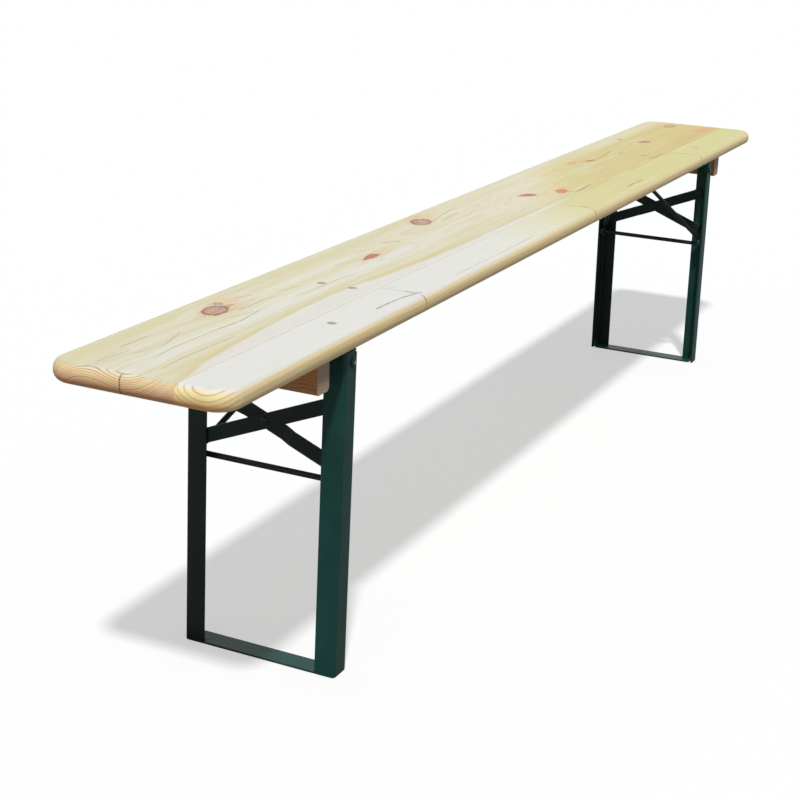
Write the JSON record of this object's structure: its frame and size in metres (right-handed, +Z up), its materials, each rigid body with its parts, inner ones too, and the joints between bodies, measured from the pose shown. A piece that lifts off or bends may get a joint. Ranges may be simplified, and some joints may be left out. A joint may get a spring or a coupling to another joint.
{
  "type": "folding bench",
  "caption": "Long narrow bench: rounded pine seat on two folding angle-iron leg frames with crossed braces, a floor bar and a bow strut that snaps under the seat.",
  "frame": {"origin": "on the floor under the middle of the seat", "axes": "+X along the seat, +Y to the back long edge (the front long edge, nearer the camera, is -Y), +Z up"},
  "size_m": [2.2, 0.25, 0.47],
  "materials": {
    "pine_seat": "clear satin varnish over pale pine with knots",
    "pine_batten": "plain sawn softwood, lightly varnished",
    "green_steel": "dark green semi-gloss paint with light wear on the edges",
    "zinc_steel": "bright zinc plating",
    "spring_steel": "dark tempered spring steel"
  },
  "bodies": {
    "root": {"left_batten": "pine_batten", "left_batten_screw_1": "zinc_steel", "left_batten_screw_2": "zinc_steel", "left_batten_screw_3": "zinc_steel", "left_batten_screw_4": "zinc_steel", "left_bracket_rivet_front": "zinc_steel", "left_bracket_rivet_rear": "zinc_steel", "left_bracket_screw_front": "zinc_steel", "left_bracket_screw_rear": "zinc_steel", "left_catch_hook": "zinc_steel", "left_catch_rivet_front": "zinc_steel", "left_catch_rivet_rear": "zinc_steel", "left_catch_spring": "spring_steel", "left_hinge_bracket_front": "green_steel", "left_hinge_bracket_rear": "green_steel", "left_hinge_rivet_front": "green_steel", "left_hinge_rivet_rear": "green_steel", "left_spring_screw_1": "zinc_steel", "left_spring_screw_2": "zinc_steel", "right_batten": "pine_batten", "right_batten_screw_1": "zinc_steel", "right_batten_screw_2": "zinc_steel", "right_batten_screw_3": "zinc_steel", "right_batten_screw_4": "zinc_steel", "right_bracket_rivet_front": "zinc_steel", "right_bracket_rivet_rear": "zinc_steel", "right_bracket_screw_front": "zinc_steel", "right_bracket_screw_rear": "zinc_steel", "right_catch_hook": "zinc_steel", "right_catch_rivet_front": "zinc_steel", "right_catch_rivet_rear": "zinc_steel", "right_catch_spring": "spring_steel", "right_hinge_bracket_front": "green_steel", "right_hinge_bracket_rear": "green_steel", "right_hinge_rivet_front": "green_steel", "right_hinge_rivet_rear": "green_steel", "right_spring_screw_1": "zinc_steel", "right_spring_screw_2": "zinc_steel", "seat_plank": "pine_seat", "seat_strip_1": "pine_seat", "seat_strip_2": "pine_seat", "seat_strip_3": "pine_seat", "seat_strip_4": "pine_seat"},
    "left_leg": {"left_brace_rivet": "green_steel", "left_cross_brace_joggled": "green_steel", "left_cross_brace_straight": "green_steel", "left_floor_bar": "green_steel", "left_strut_rod": "green_steel", "left_upright_front": "green_steel", "left_upright_rear": "green_steel"},
    "left_bow": {"left_bow": "green_steel"},
    "right_leg": {"right_brace_rivet": "green_steel", "right_cross_brace_joggled": "green_steel", "right_cross_brace_straight": "green_steel", "right_floor_bar": "green_steel", "right_strut_rod": "green_steel", "right_upright_front": "green_steel", "right_upright_rear": "green_steel"},
    "right_bow": {"right_bow": "green_steel"}
  },
  "joints": [
    {"name": "left_leg_fold", "type": "hinge", "parent": "root", "child": "left_leg", "pos_m": [-0.796, 0, 0.425], "axis": [0, -1, 0], "range_deg": [0, 92]},
    {"name": "left_bow_fold", "type": "hinge", "parent": "left_leg", "child": "left_bow", "pos_m": [-0.80158, 0, 0.2651], "axis": [0, -1, 0], "range_deg": [-132, 0]},
    {"name": "right_leg_fold", "type": "hinge", "parent": "root", "child": "right_leg", "pos_m": [0.796, 0, 0.425], "axis": [0, 1, 0], "range_deg": [0, 92]},
    {"name": "right_bow_fold", "type": "hinge", "parent": "right_leg", "child": "right_bow", "pos_m": [0.80158, 0, 0.2651], "axis": [0, 1, 0], "range_deg": [-132, 0]}
  ],
  "couplings": [
    {"joint": "left_bow_fold", "follows": "left_leg_fold", "ratio": -1.4328},
    {"joint": "right_bow_fold", "follows": "right_leg_fold", "ratio": -1.4328}
  ]
}
